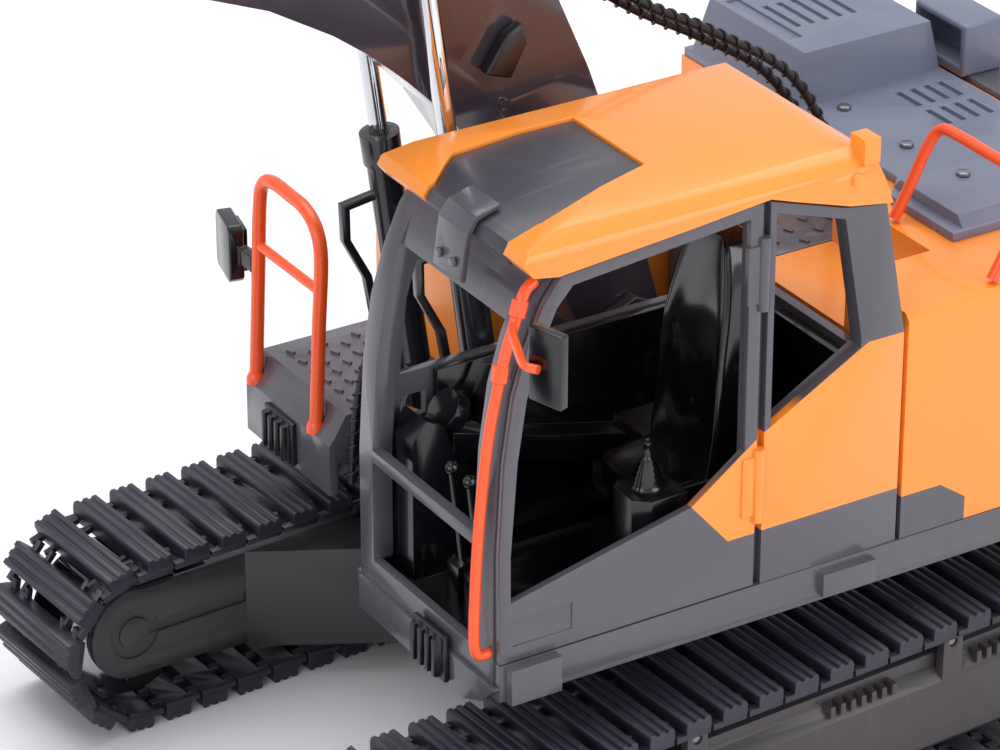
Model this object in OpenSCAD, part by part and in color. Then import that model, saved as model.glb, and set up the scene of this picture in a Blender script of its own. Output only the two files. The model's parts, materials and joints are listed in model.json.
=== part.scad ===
// Radio-controlled crawler excavator, 1:16 scale
// Millimetres, +Z up, ground at Z = 0, boom towards -Y, cab on the +X side.
// Everything is drawn round the slew axis and then moved by slew_y.

/* [Part] */
// sub-part to draw

/* [Undercarriage] */
// distance between the track centre lines
gauge = 137.5; // [125:0.5:150]
// distance between the idler axle and the sprocket axle
wheelbase = 200; // [190:1:210]
// width over one row of track shoes
shoe_w = 37.5; // [32:0.5:42]
// how far the undercarriage is turned under the house
track_turn = 3.3; // [-10:0.1:10]

/* [House] */
// tail swing radius of the counterweight
tail_r = 152; // [145:1:160]
// height of the underside of the deck
deck_z = 62; // [60:0.5:66]

/* [Digging gear] */
// centre line of the boom, across the machine
boom_x = -8; // [-12:0.5:0]
// width of the boom over its side plates
boom_w = 24; // [20:0.5:26]
// distance between the two boom cylinders
cyl_gap = 35; // [34:0.5:36]
// width of the bucket
bucket_w = 72; // [50:1:80]

/* [Hidden] */
$fn = 48;
slew_y = 74;
axle_z = 24;
pitch_r = 20;
link_count = 49;
link_pitch = (2 * wheelbase + 2 * PI * pitch_r) / link_count;
pin_at = link_pitch / 2;
ring_teeth = 60;
pinion_teeth = 12;
gear_gap = (ring_teeth + pinion_teeth) / 2;
deck_top = 66;
foot = [8, 106];
cyl_foot = [-34.5, 85];
cyl_pin = [-53.6, 222];
tip = [-264, 262];
arm_cyl_foot = [-98, 273];
arm_cyl_pin = [-250, 303];
bucket_pin = [-258, 100];
rocker_pin = [-259, 128];
link_pin = [-288, 118];
bucket_link_pin = [-281, 92];
bucket_cyl_foot = [-286, 244];

// ---------- helpers ----------
module house() translate([0, slew_y, 0]) children();
module chassis() translate([0, slew_y, 0]) rotate([0, 0, track_turn]) children();
module block(lo, hi) translate(lo) cube(hi - lo);
// polygon drawn in the Y-Z plane, x0 to x1
module side(x0, x1, pts) translate([x0, 0, 0]) rotate([90, 0, 90]) linear_extrude(x1 - x0) polygon(pts);
// polygon drawn in the X-Z plane, y0 to y1
module front(y0, y1, pts) translate([0, y1, 0]) rotate([90, 0, 0]) linear_extrude(y1 - y0) polygon(pts);
// polygon drawn in the X-Y plane, z0 to z1
module plan(z0, z1, pts) translate([0, 0, z0]) linear_extrude(z1 - z0) polygon(pts);
// shaft along X at a [y, z] point
module shaft(r, x0, x1, at) translate([x0, at[0], at[1]]) rotate([0, 90, 0]) cylinder(r = r, h = x1 - x0);
// round bar from a to b
module bar(a, b, r) {
  d = b - a;
  translate(a)
    rotate([0, acos(d[2] / norm(d)), atan2(d[1], d[0])])
      cylinder(r = r, h = norm(d), $fn = 24);
}
// swept tube, eight sides, rounded at every point of its route
function unit(v) = v / norm(v);
function heading(p, i) = unit(p[min(i + 1, len(p) - 1)] - p[max(i - 1, 0)]);
function side_of(t) = unit(cross(t, [0.2, 1, 0.1]));
function ring_at(c, t, r) = let (u = side_of(t), w = cross(t, u))
  [for (k = [0:7]) c + r * (cos(45 * k) * u + sin(45 * k) * w)];
function on_curve(a, b, c, d, t) = 0.5 * (2 * b + (c - a) * t + (2 * a - 5 * b + 4 * c - d) * t * t
  + (3 * b - a - 3 * c + d) * t * t * t);
function route(p, n) = [for (i = [0:len(p) - 2]) for (k = [0:n - 1])
  on_curve(p[max(i - 1, 0)], p[i], p[i + 1], p[min(i + 2, len(p) - 1)], k / n)];
module hose(points, r, n = 5) {
  p = concat(route(points, n), [points[len(points) - 1]]);
  rings = [for (i = [0:len(p) - 1]) for (q = ring_at(p[i], heading(p, i), r)) q];
  last = 8 * (len(p) - 1);
  walls = [for (i = [0:len(p) - 2]) for (k = [0:7])
    [8 * i + k, 8 * i + 8 + k, 8 * i + 8 + (k + 1) % 8, 8 * i + (k + 1) % 8]];
  polyhedron(rings, concat([[for (k = [0:7]) k]], walls, [[for (k = [7:-1:0]) last + k]]));
}
// gear outline with straight-sided teeth, one pitch tooth module
function gear(n, turn) = [for (i = [0:n - 1]) for (q = [[-0.95, -1.1], [-0.58, -0.9], [-0.28, 0.75],
  [0.28, 0.75], [0.58, -0.9]]) let (r = n / 2 + q[1], a = turn + 360 * i / n + q[0] * 180 / PI * 2 / n)
  [r * cos(a), r * sin(a)]];
// bolt head that stands on a face pointing up
module bolt_up(at, r) translate(at) cylinder(r = r, h = 1.1, $fn = 6);

// ---------- undercarriage ----------
right_edge = [
  [8.2, 3.6], [8.2, pin_at + 1], [9.6, pin_at + 1], [9.6, 3.6], [14.2, 3.6], [14.2, pin_at + 1],
  [16.3, pin_at + 1], [16.3, 3.6], [18.6, 3.6], [18.6, -pin_at - 1], [16.45, -pin_at - 1],
  [16.45, -3.6], [11.2, -3.6], [11.2, -pin_at - 1], [9.75, -pin_at - 1], [9.75, -3.6]
];
left_edge = [for (i = [len(right_edge) - 1:-1:0]) [-right_edge[i][0], right_edge[i][1]]];
shoe_profile = [
  [-3.6, 0.6], [3.6, 0.6], [3.6, 3], [3.2, 4], [2, 4], [1.7, 3.4], [0.9, 3.4], [0.6, 4],
  [-0.6, 4], [-0.9, 3.4], [-1.7, 3.4], [-2, 4], [-3.2, 4], [-3.6, 3]
];
module link() {
  plan(-1, 0.6, concat(right_edge, left_edge));
  side(-shoe_w / 2, shoe_w / 2, shoe_profile);
}
half_turn = PI * pitch_r;
function path_y(s) = s < wheelbase ? s - wheelbase / 2
  : s < wheelbase + half_turn ? wheelbase / 2 + pitch_r * sin(path_a(s))
  : s < 2 * wheelbase + half_turn ? wheelbase / 2 - (s - wheelbase - half_turn)
  : -wheelbase / 2 + pitch_r * sin(path_a(s));
function path_a(s) = s < wheelbase ? 0
  : s < wheelbase + half_turn ? (s - wheelbase) / half_turn * 180
  : s < 2 * wheelbase + half_turn ? 180
  : 180 + (s - 2 * wheelbase - half_turn) / half_turn * 180;
module track(cx) {
  for (i = [0:link_count - 1])
    translate([cx, path_y((i + 0.4) * link_pitch),
      axle_z + pitch_r * cos(path_a((i + 0.4) * link_pitch))])
      rotate([-path_a((i + 0.4) * link_pitch), 0, 0])
        link();
}
module wheel(cx, y) {
  translate([cx, y, axle_z]) rotate([0, 90, 0]) {
    cylinder(r = 14, h = 18.6, center = true);
    for (s = [-1, 1]) translate([0, 0, 8.85 * s]) cylinder(r = 17.9, h = 1.1, center = true);
    cylinder(r = 2.45, h = 22.4, center = true);
    for (k = [0:11]) rotate([0, 0, 30 * k]) translate([17.1, 0, 0]) cylinder(r = 1.3, h = 17,
      center = true, $fn = 16);
  }
}
carrier_y = [-29, 49.5];
carrier_z = 39.6;
module carrier(s, y) {
  cx = s * gauge / 2;
  shaft(3, min(cx - 7 * s, cx + 11.5 * s), max(cx - 7 * s, cx + 11.5 * s), [y, carrier_z]);
  shaft(1.3, min(cx - 9.5 * s, cx + 14.6 * s), max(cx - 9.5 * s, cx + 14.6 * s), [y, carrier_z]);
}
// one track frame, drawn for the left side; s mirrors it
module track_frame(s) {
  translate([s * gauge / 2, 0, 0]) mirror([s < 0 ? 1 : 0, 0, 0]) {
    difference() {
      union() {
        for (x = [[-11.75, -9.75], [9.75, 11.75]]) {
          block([x[0], -wheelbase / 2, axle_z - 12.5], [x[1], wheelbase / 2, axle_z + 12]);
          for (y = [-wheelbase / 2, wheelbase / 2]) shaft(12.5, x[0], x[1], [y, axle_z]);
        }
        front(-77, 77, [[-9.75, 9], [12.5, 9], [15.25, 12], [15.25, 29.4], [9, 35.6], [-9.75, 35.6]]);
      }
      for (y = [-wheelbase / 2, wheelbase / 2]) {
        shaft(2.5, -11.3, 11.3, [y, axle_z]);
        difference() {
          shaft(7, -12, -11.1, [y, axle_z]);
          shaft(4.4, -12, -11.1, [y, axle_z]);
        }
      }
      for (s2 = [-1, 1]) block([-12, min(57 * s2, 96 * s2), axle_z - 1.6],
        [-11, max(57 * s2, 96 * s2), axle_z + 1.6]);
      block([-6, -65, 12], [6, 65, 28]);
    }
    for (y = carrier_y) {
      difference() {
        union() {
          block([12.6, y - 3, 28], [15.25, y + 3, carrier_z]);
          shaft(3, 12.6, 15.25, [y, carrier_z]);
          block([-9.75, y - 3, 33], [-7.6, y + 3, carrier_z]);
          shaft(3, -9.75, -7.6, [y, carrier_z]);
        }
        shaft(1.37, -10, 16, [y, carrier_z]);
      }
    }
    for (y = [11.4:3.2:32.6]) block([10.6, y, 31], [15.25, y + 1.4, 34]);
    for (y = [57.5:3.2:74]) block([10.6, y, 31], [15.25, y + 1.4, 34]);
  }
}
module track_frame_left() color("#3f3a3d") chassis() track_frame(1);
module track_frame_right() color("#3f3a3d") chassis() track_frame(-1);
module track_left() color("#3d3d48") chassis() track(gauge / 2);
module track_right() color("#3d3d48") chassis() track(-gauge / 2);
module idler_left() color("#2a2a2e") chassis() wheel(gauge / 2, -wheelbase / 2);
module idler_right() color("#2a2a2e") chassis() wheel(-gauge / 2, -wheelbase / 2);
module sprocket_left() color("#2a2a2e") chassis() wheel(gauge / 2, wheelbase / 2);
module sprocket_right() color("#2a2a2e") chassis() wheel(-gauge / 2, wheelbase / 2);
module carrier_front_left() color("#8a8686") chassis() carrier(1, carrier_y[0]);
module carrier_rear_left() color("#8a8686") chassis() carrier(1, carrier_y[1]);
module carrier_front_right() color("#8a8686") chassis() carrier(-1, carrier_y[0]);
module carrier_rear_right() color("#8a8686") chassis() carrier(-1, carrier_y[1]);

frame_x = gauge / 2 - 11.75;
leg = [[frame_x, 67], [frame_x, 36], [36, 0], [0, 0], [24, 14]];
module lower_frame() color("#454045") chassis() {
  difference() {
    union() {
      for (sx = [0, 1]) for (sy = [0, 1]) mirror([sx, 0, 0]) mirror([0, sy, 0]) plan(9, 37, leg);
      translate([0, 0, 16]) cylinder(r = 38, h = 25);
    }
    translate([0, 0, 8]) cylinder(r = 16, h = 40);
    translate([0, 0, 34]) cylinder(r = 25, h = 8);
  }
}
module slew_ring() color("#b4b5b8") chassis() difference() {
  union() {
    plan(43.3, 49, gear(ring_teeth, -track_turn));
    translate([0, 0, 41]) cylinder(r = 28, h = 3);
  }
  translate([0, 0, 40]) cylinder(r = 22, h = 10);
}
module slew_pinion() color("#c9a84a") house() {
  translate([0, gear_gap, 0]) {
    plan(43.6, 48.6, gear(pinion_teeth, 15));
    translate([0, 0, 48]) cylinder(r = 2, h = 17, $fn = 24);
  }
}

// ---------- house ----------
deck_outline = [
  [78, -74.5], [78, 118], [60, 132], [-60, 132], [-78, 118], [-78, -52.5], [-36, -52.5],
  [-36, -46], [13, -46], [13, -74.5]
];
module deck() color("#6b6870") house() {
  difference() {
    union() {
      plan(deck_z, deck_top, deck_outline);
      translate([0, 0, 49.3]) cylinder(r = 26, h = 13);
      translate([0, 0, 42]) cylinder(r = 21.93, h = 9);
      block([75.85, -74.5, 63.4], [78.2, 118, 71.8]);
      block([78.2, -73, 62.2], [81, -59.4, 71.4]);
      block([78.2, 14.6, 64], [80.4, 30, 70]);
      front(-76, -74.5, [[16, 57.4], [64, 56.6], [72, 60], [78, 65.6], [78, 66], [16, 66]]);
      block([14.7, -74.5, 57.4], [17, -52, 63]);
    }
    translate([0, 0, 40]) cylinder(r = 14, h = 40);
    translate([0, gear_gap, 40]) cylinder(r = 2.07, h = 40, $fn = 24);
    translate([0, 0, 40]) difference() {
      translate([0, gear_gap, 0]) cylinder(r = 8.5, h = 9.6);
      cylinder(r = 26, h = 10);
    }
  }
}

// cab side outline and openings, [y, z]
cab_profile = [
  [-75, 66], [37, 66], [37, 128], [30.4, 163.2], [18.8, 165], [-3, 172.2], [-59, 167.6],
  [-63.4, 161.5], [-67.6, 152], [-71.2, 140], [-73.6, 124], [-75, 100]
];
door_hole = [
  [-70.5, 75.6], [-6.8, 75.6], [-6.8, 168.6], [-54.6, 164.4], [-58.4, 160.4], [-62.8, 150.8],
  [-66.4, 139], [-69, 123.4], [-70.5, 100]
];
quarter_hole = [[-0.6, 113.2], [24.6, 127.4], [24.6, 130], [18.8, 162], [-0.6, 168.4]];
right_hole = [[-65, 118], [28, 118], [20, 163], [-3, 169], [-52, 164.4], [-62, 146]];
pillar = [
  [-75, 72.4], [-69.6, 72.4], [-69.6, 100], [-68.2, 123], [-65.6, 138.4], [-62, 150], [-57.6, 159.6],
  [-54, 163.8], [-54, 167.9], [-59, 167.5], [-63.4, 161.5], [-67.6, 152], [-71.2, 140], [-73.6, 124],
  [-75, 100]
];
quarter_skin = [[-2.3, 71.8], [37, 71.8], [37, 128], [30.4, 163], [18.8, 164.8], [-2.3, 171.6]];
module cab_frame() color("#6b6870") house() {
  difference() {
    side(73.4, 75.8, cab_profile);
    side(73, 76, door_hole);
    side(73, 76, quarter_hole);
  }
  difference() {
    side(75.8, 78, quarter_skin);
    side(75.7, 78.1, quarter_hole);
  }
  difference() {
    side(15.5, 17.7, cab_profile);
    side(15.4, 17.8, right_hole);
    side(15.4, 17.8, [[-65, 72.4], [-58, 72.4], [-58, 112], [-65, 112]]);
  }
  side(67.4, 73.4, pillar);
  side(17.7, 21.6, pillar);
  front(-75, -72.6, [[17.7, 66], [73.4, 66], [73.4, 72.4], [17.7, 72.4]]);
  front(-75.2, -72.4, [[21.6, 99.2], [67.4, 99.2], [67.4, 102.4], [21.6, 102.4]]);
  side(21.6, 67.4, [[-66.2, 154], [-64.4, 154], [-56.6, 163.8], [-54, 163.8], [-54, 167.9],
    [-59, 167.5], [-63.4, 161.5]]);
  difference() {
    front(34.4, 37, [[17.7, 66], [73.4, 66], [73.4, 128], [17.7, 128]]);
    front(34, 38, [[23, 118], [68, 118], [68, 129], [23, 129]]);
  }
  side(17.7, 23, [[34.4, 126], [37, 128], [30.4, 163], [27.6, 163.4]]);
  side(68, 73.4, [[34.4, 126], [37, 128], [30.4, 163], [27.6, 163.4]]);
}
module cab_tub() color("#16151b") house() {
  block([17.9, -72.4, 66], [73.2, 34.2, 69]);
  block([17.9, -56, 69], [20, 34.2, 117.6]);
  block([20, -6, 69], [33, 34.2, 92]);
  block([62, -14, 69], [73.2, 34.2, 88]);
  plan(69, 99.6, [[59, -20], [59, -30], [62, -33.6], [70, -33.6], [73.2, -30], [73.2, -20]]);
  block([33, 31, 69], [62, 34.2, 116]);
  side(20, 30, [[-69, 69], [-56, 69], [-56, 96], [-60, 108], [-65, 111], [-69, 106]]);
  difference() {
    side(20, 27, [[-56, 69], [-6, 69], [-6, 90], [-30, 96], [-56, 104]]);
    side(19, 28, [[-52, 74], [-12, 74], [-12, 84], [-52, 96]]);
  }
  translate([25, -56, 109]) rotate([55, 0, 0]) cylinder(r = 5.2, h = 4, center = true);
  translate([27, -47, 112]) rotate([-24, 0, 18]) cube([6.4, 1.6, 14], center = true);
  bar([27, -46, 96], [27, -46.4, 107], 1.2);
}
seat_back = [[-4, 92], [3, 90], [8, 118], [10, 142], [9.5, 150], [5.5, 151], [0, 140], [-3, 118]];
module seat() color("#111015") house() {
  side(36, 59, seat_back);
  side(35, 60, [[-19, 82], [2, 82], [5, 89], [2, 93], [-18, 93.6], [-21, 90]]);
  for (x = [34, 58.6]) side(x, x + 2.4, [[-16, 84], [5, 84], [8, 108], [3, 109], [-3, 96], [-15, 96]]);
  block([40, -14, 69], [56, 2, 83]);
}
module stick(at) translate(at) {
  cylinder(r = 4.2, h = 2, $fn = 32);
  translate([0, 0, 2]) cylinder(r = 3.2, h = 2, $fn = 32);
  translate([0, 0, 4]) cylinder(r = 2.3, h = 2, $fn = 32);
  cylinder(r = 1.1, h = 12, $fn = 16);
}
module cab_levers() color("#1b1a20") house() {
  stick([27, 8, 92]);
  stick([65.6, -26.6, 99.6]);
  for (x = [43, 51]) {
    bar([x, -62, 69], [x, -66, 104], 0.9);
    translate([x, -66, 105]) sphere(r = 1.7, $fn = 24);
    side(x - 2.6, x + 2.6, [[-66, 69], [-56, 69], [-64, 80], [-66, 79]]);
  }
}

roof_side = [
  [-60, 168.2], [-66.6, 169.4], [-69, 172.4], [-67.6, 175], [-60, 177.4], [-40, 179.6], [-5, 180.6],
  [18, 179.4], [26, 177], [31, 163.8], [19, 165.8], [-3, 172.8]
];
roof_front = [
  [15.2, 160], [15.2, 174.4], [17.8, 177.2], [30, 180], [47, 181], [66, 180], [75, 177.6],
  [78.6, 174.6], [79.6, 171], [79.6, 160]
];
sunroof_outline = [[31, -25.6], [61, -25.6], [70.5, -59], [70.5, -72], [36, -72], [36, -66], [29, -57]];
sunroof_inner = [[31.4, -26], [60.7, -26], [70.1, -59.1], [70.1, -69.2], [36.4, -69.2], [36.4, -65.8],
  [29.4, -56.8]];
module roof() color("#ffa850") house() {
  difference() {
    intersection() {
      side(15.2, 79.6, roof_side);
      front(-72, 33, roof_front);
    }
    plan(174, 185, sunroof_outline);
    plan(160, 185, [[36, -64], [70.5, -64], [70.5, -72], [36, -72]]);
    block([18, -58, 160], [73, 18, 175]);
  }
  block([73.6, 22.4, 175], [79.4, 26.8, 181.3]);
  shaft(1.6, 79, 80.4, [20.6, 172.1]);
}
module sunroof() color("#26242b") house() {
  intersection() {
    union() {
      plan(175.2, 185, sunroof_inner);
      plan(168.2, 185, [[36.4, -64.4], [70.1, -64.4], [70.1, -70], [36.4, -70]]);
    }
    side(15.2, 79.6, [
      [-64.4, 168.2], [-67, 169], [-68.8, 171.8], [-67.2, 174.4], [-60, 176.8], [-40, 179],
      [-20, 179.6], [-20, 175.2], [-64.4, 175.2]
    ]);
    front(-72, 33, [[15.2, 160], [15.2, 174], [30, 179.4], [47, 180.4], [66, 179.4], [79, 174],
      [79, 160]]);
  }
}
module roof_bracket() color("#77747c") house() {
  side(46, 58, [[-72.6, 161], [-71, 160.4], [-69.8, 169.4], [-69.3, 172], [-67.6, 174.9],
    [-62, 176.7], [-62, 178], [-68.4, 176.4], [-71, 172.8]]);
  for (x = [49, 55]) translate([x, -72.2, 165]) rotate([98, 0, 0]) cylinder(r = 1.3, h = 1, $fn = 6);
}

module cab_handrail() color("#ff5a22") house() {
  hose([[74.6, -75.2, 74], [74.6, -79, 76], [74.8, -79, 92], [74.8, -77.6, 112], [75.2, -75.4, 132],
    [75.6, -71.6, 150], [75.6, -68.2, 160], [75.2, -66.2, 164.4], [74.6, -63.4, 166]], 1.35);
  hose([[75.4, -69.4, 157], [80, -72.4, 157.6], [88, -76, 158], [95, -78.6, 158.2],
    [98.6, -77.3, 158.3]], 1.1);
}
module cab_mirror() color("#17161b") house() {
  translate([98.4, -74.4, 158.3]) rotate([0, 0, 15.5]) {
    block([-4.8, -1.6, -9], [4.8, 1, 9]);
    block([-4, 1, -8], [4, 1.8, 8]);
  }
}
module side_handrail() color("#ff5a22") house() {
  hose([[-75.6, -53.4, 71.6], [-75.6, -52, 100], [-75.6, -51, 121], [-74, -50.7, 127.4],
    [-69.4, -50.5, 129.6],
    [-61, -50.5, 129.6], [-53, -50.5, 129], [-47, -50.7, 125.6], [-44.4, -51, 118], [-44.4, -52, 100],
    [-44.4, -53.4, 71.6]], 1.8);
  bar([-75.6, -51.6, 110], [-44.4, -51.6, 110], 1.3);
  for (x = [-75.6, -44.4]) translate([x, -53.4, 71.2]) cylinder(r = 2.5, h = 3, $fn = 24);
}
module side_mirror() color("#17161b") house() {
  translate([-90.4, -52, 104]) rotate([0, 0, -14]) {
    difference() {
      block([-7, -2, -8], [7, 2, 8]);
      for (sx = [-1, 1]) for (sz = [-1, 1]) translate([8 * sx, -3, 9 * sz]) rotate([0, 45, 0]) cube([5,
        12, 5], center = true);
    }
    block([-4.6, 2, -6], [4.6, 3.6, 6]);
  }
  block([-84.6, -53.2, 101.6], [-77.2, -50.4, 106.4]);
}

shell_outline = [[78, 38.4], [78, 117.6], [60, 131.6], [-60, 131.6], [-78, 117.6], [-78, 78],
  [12, 78], [12, 38.4]];
shell_inner = [[75.6, 41], [75.6, 116.4], [59, 129.2], [-59, 129.2], [-75.6, 116.4], [-75.6, 80.6],
  [14.6, 80.6], [14.6, 41]];
// corner behind the cab where the top of the shell is sunk
sunk_x = 52.3;
sunk_y = 63.4;
sunk_z = 118;
module body_shell() color("#ffa850") house() {
  difference() {
    plan(deck_top, 132, shell_outline);
    difference() {
      plan(deck_top - 1, 129.4, shell_inner);
      block([10, 36, sunk_z - 2.4], [sunk_x + 2.4, sunk_y + 2.4, 134]);
    }
    block([10, 36, sunk_z], [sunk_x, sunk_y, 134]);
    block([75.5, 38, deck_top - 1], [79, 118.6, 71.9]);
    translate([78, 38, 132]) rotate([0, 45, 0]) cube([2.4, 200, 2.4], center = true);
    for (z = [84:5:109]) block([-79, 88, z], [-77, 112, z + 2]);
  }
}
module hood() color("#8d90a5") house() {
  difference() {
    union() {
      plan(132, 134.4, [[51.6, 70.6], [51.6, 128], [-65.2, 128], [-77.4, 118.3], [-77.4, 78.4],
        [18, 78.4], [26, 70.6]]);
      front(74, 127, [[22, 134.4], [51, 134.4], [48.4, 137.4], [25, 137.4]]);
      side(-74, -31, [[78.4, 134.4], [127.6, 134.4], [124, 148.4], [84, 148.4]]);
    }
    for (k = [0:3]) for (j = [0:1]) block([-24 + 13 * j, 108 + 4.4 * k, 133.2],
      [-14 + 13 * j, 109.8 + 4.4 * k, 138]);
    for (k = [0:4]) block([-62, 92 + 4.4 * k, 147.4], [-46, 93.8 + 4.4 * k, 150]);
    block([-70, 86, 147.6], [-40, 90, 150]);
  }
}
module exhaust_box() color("#8d90a5") house() {
  difference() {
    block([-46, 130, 133.4], [-24, 143, 148]);
    block([-44, 129, 136], [-26, 138, 146]);
  }
}
module rear_handrail() color("#ff5a22") house() {
  hose([[34.8, 65.2, 132.95], [34.8, 69.4, 140.4], [35, 74.8, 151], [36.8, 77, 154.8], [42, 77.4, 155.4],
    [54, 77.4, 155.4], [67, 77.4, 155.4], [72.2, 77, 154.8], [74, 74.8, 151], [74.2, 69.4, 140.4],
    [74.2, 65.2, 132.95]], 1.5);
}
module counterweight() color("#6b6870") house() {
  difference() {
    intersection() {
      translate([0, 0, deck_top - 1.6]) cylinder(r = tail_r, h = 69, $fn = 96);
      plan(deck_top - 1.6, 133.4, [[78, 118.2], [78, 160], [-78, 160], [-78, 118.2], [-60.2, 132.2],
        [60.2, 132.2]]);
      side(-78, 78, [[100, 70], [160, 64], [160, 124], [146, 133.4], [100, 133.4]]);
    }
    block([-30, 140, 64], [30, 144, 76]);
  }
}
module side_platform() color("#6b6870") house() {
  difference() {
    side(-78, -35, [[-55, 57.2], [-55, 71.4], [-53.6, 73], [-50, 79], [-16.4, 79], [-16.4, 66],
      [-52.6, 66], [-52.6, 57.2]]);
    side(-75, -38, [[-50, 66], [-50, 75], [-20, 75], [-20, 66]]);
    for (x = [-75.6, -44.4]) translate([x, -53.4, 71.2]) cylinder(r = 2.5, h = 12, $fn = 24);
  }
  for (j = [0:5]) for (k = [0:5])
    translate([-73 + 6.2 * j + 3.1 * (k % 2), -46 + 4.8 * k, 79]) rotate([0, 0, 20]) cube([2.6, 0.9,
      0.7]);
}
module tank_box() color("#ffa850") house() {
  difference() {
    union() {
      block([-78, -16, deck_top], [-35, 77.6, 113]);
      front(-16, 77.6, [[-78, 113], [-35, 113], [-37, 115.4], [-75, 115.4]]);
    }
    block([-75.4, -13.4, deck_top - 1], [-37.6, 75, 112]);
    block([-79, 20, 66.6], [-77.2, 20.8, 112]);
  }
}
module lamp(x, y, z) {
  block([x - 7.4, y - 1, z - 6], [x + 7.4, y + 0.4, z + 6]);
  for (k = [0:3]) block([x - 5.8 + 3.2 * k, y - 2.8, z - 5], [x - 4 + 3.2 * k, y - 1, z + 5]);
}
module work_lamps() color("#2a282e") house() {
  lamp(51, -76.4, 64);
  lamp(-59, -55.4, 64.4);
}
module tread_plate() color("#7d7c86") house() {
  difference() {
    block([-34.4, 46, deck_top], [11.6, 77.6, 116.6]);
    block([-32, 48.4, deck_top - 1], [9.2, 75.2, 114.4]);
  }
  block([-34, 46.4, 116.6], [11.2, 77.2, 117.8]);
  for (j = [0:5]) for (k = [0:3])
    translate([-31 + 7 * j + 3.5 * (k % 2), 50 + 6.6 * k, 117.8]) rotate([0, 0, 20]) cube([2.6, 0.9,
      0.7]);
}

// ---------- boom mounting ----------
cyl_x = [boom_x + cyl_gap / 2, boom_x - cyl_gap / 2];
ear = [[-12, 66], [26, 66], [18, 104], [14, 112], [8, 115], [1, 112], [-3, 104]];
module boom_bracket() color("#4b454d") house() {
  difference() {
    union() {
      for (x = [boom_x - 16, boom_x + 12.4]) side(x, x + 3.6, ear);
      block([boom_x - 25, -42, deck_top], [boom_x + 23, -8, 70]);
      for (x = cyl_x) side(x - 1.9, x + 1.9, [[-42, 70], [-27, 70], [-30, 88], [-33, 90], [-36, 90],
        [-39.4, 86]]);
      side(boom_x - 1.6, boom_x + 1.6, [[-42, 70], [-10, 70], [-10, 76], [-42, 84]]);
    }
    shaft(4.06, -60, 60, foot);
    for (x = cyl_x) shaft(2.06, x - 6, x + 6, cyl_foot);
  }
}
lower_edge = [
  [-2, 98], [-14, 128], [-26, 146], [-33, 158.5], [-41.4, 172], [-49.6, 181], [-57.6, 188.8],
  [-65.6, 195.4], [-73.5, 201.2], [-90, 211], [-115, 221], [-150, 231], [-200, 242.5], [-258, 252.4]
];
upper_edge = [
  [-266, 271.6], [-200, 269], [-150, 266], [-110, 262], [-82, 256], [-58, 246.5], [-38, 234],
  [-24, 218], [-14, 200], [-4.3, 178], [3, 158], [10, 136], [17, 110], [16, 100], [9, 96.4]
];
boom_void = [
  [-4, 114], [-20, 145], [-30, 160.6], [-46, 183], [-62, 197.4], [-90, 215.4], [-116, 225.4],
  [-150, 235.2], [-200, 246.6], [-250, 256], [-250, 266.6], [-200, 264.6], [-150, 261.4], [-112, 257.6],
  [-84, 251.6], [-61, 242.4], [-42, 230.6], [-28.4, 215.4], [-18.4, 198], [-8.4, 176], [-1.4, 156],
    [4, 134]
];
bx = [boom_x - boom_w / 2, boom_x + boom_w / 2];
module boom() color("#4b454d") house() {
  difference() {
    union() {
      side(bx[0], bx[1], concat(lower_edge, upper_edge));
      shaft(9.4, bx[0], bx[1], foot);
      shaft(9.6, bx[0], bx[1], tip);
      for (x = [bx[0] - 0.8, bx[1] - 1.2]) shaft(7.5, x, x + 2, cyl_pin);
      for (x = [boom_x - 7.5, boom_x + 4.5]) side(x, x + 3, [[-124, 262], [-84, 254], [-89, 272],
        [-94, 278], [-101, 278], [-106, 273]]);
      side(bx[1], bx[1] + 0.5, [[-40, 188], [-46, 192], [-64, 212], [-90, 232], [-84, 242],
        [-52, 226], [-30, 200]]);
    }
    side(bx[0] + 2.4, bx[1] - 2.4, boom_void);
    side(boom_x - 8, boom_x + 8, [[-236, 232], [-236, 280], [-282, 280], [-282, 232]]);
    shaft(4.06, -60, 60, tip);
    shaft(2.06, boom_x - 8, boom_x + 8, arm_cyl_foot);
  }
  shaft(4, boom_x - 16.6, boom_x + 16.6, foot);
  for (x = [boom_x - 18.4, boom_x + 16.6]) shaft(5.6, x, x + 1.8, foot);
  for (s = [-1, 1]) {
    shaft(2, min(boom_x + 12 * s, boom_x + 21 * s), max(boom_x + 12 * s, boom_x + 21 * s), cyl_pin);
    shaft(5, min(boom_x + 20.6 * s, boom_x + 22.2 * s), max(boom_x + 20.6 * s, boom_x + 22.2 * s),
      cyl_pin);
  }
  shaft(1.6, bx[1], bx[1] + 1.4, [-28, 173.8]);
}
module boom_lamp() color("#2a282e") house() {
  side(bx[1] + 0.5, bx[1] + 4, [[-35, 184], [-29.4, 192.6], [-25, 195], [-23.6, 190], [-28, 181.6]]);
}
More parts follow.
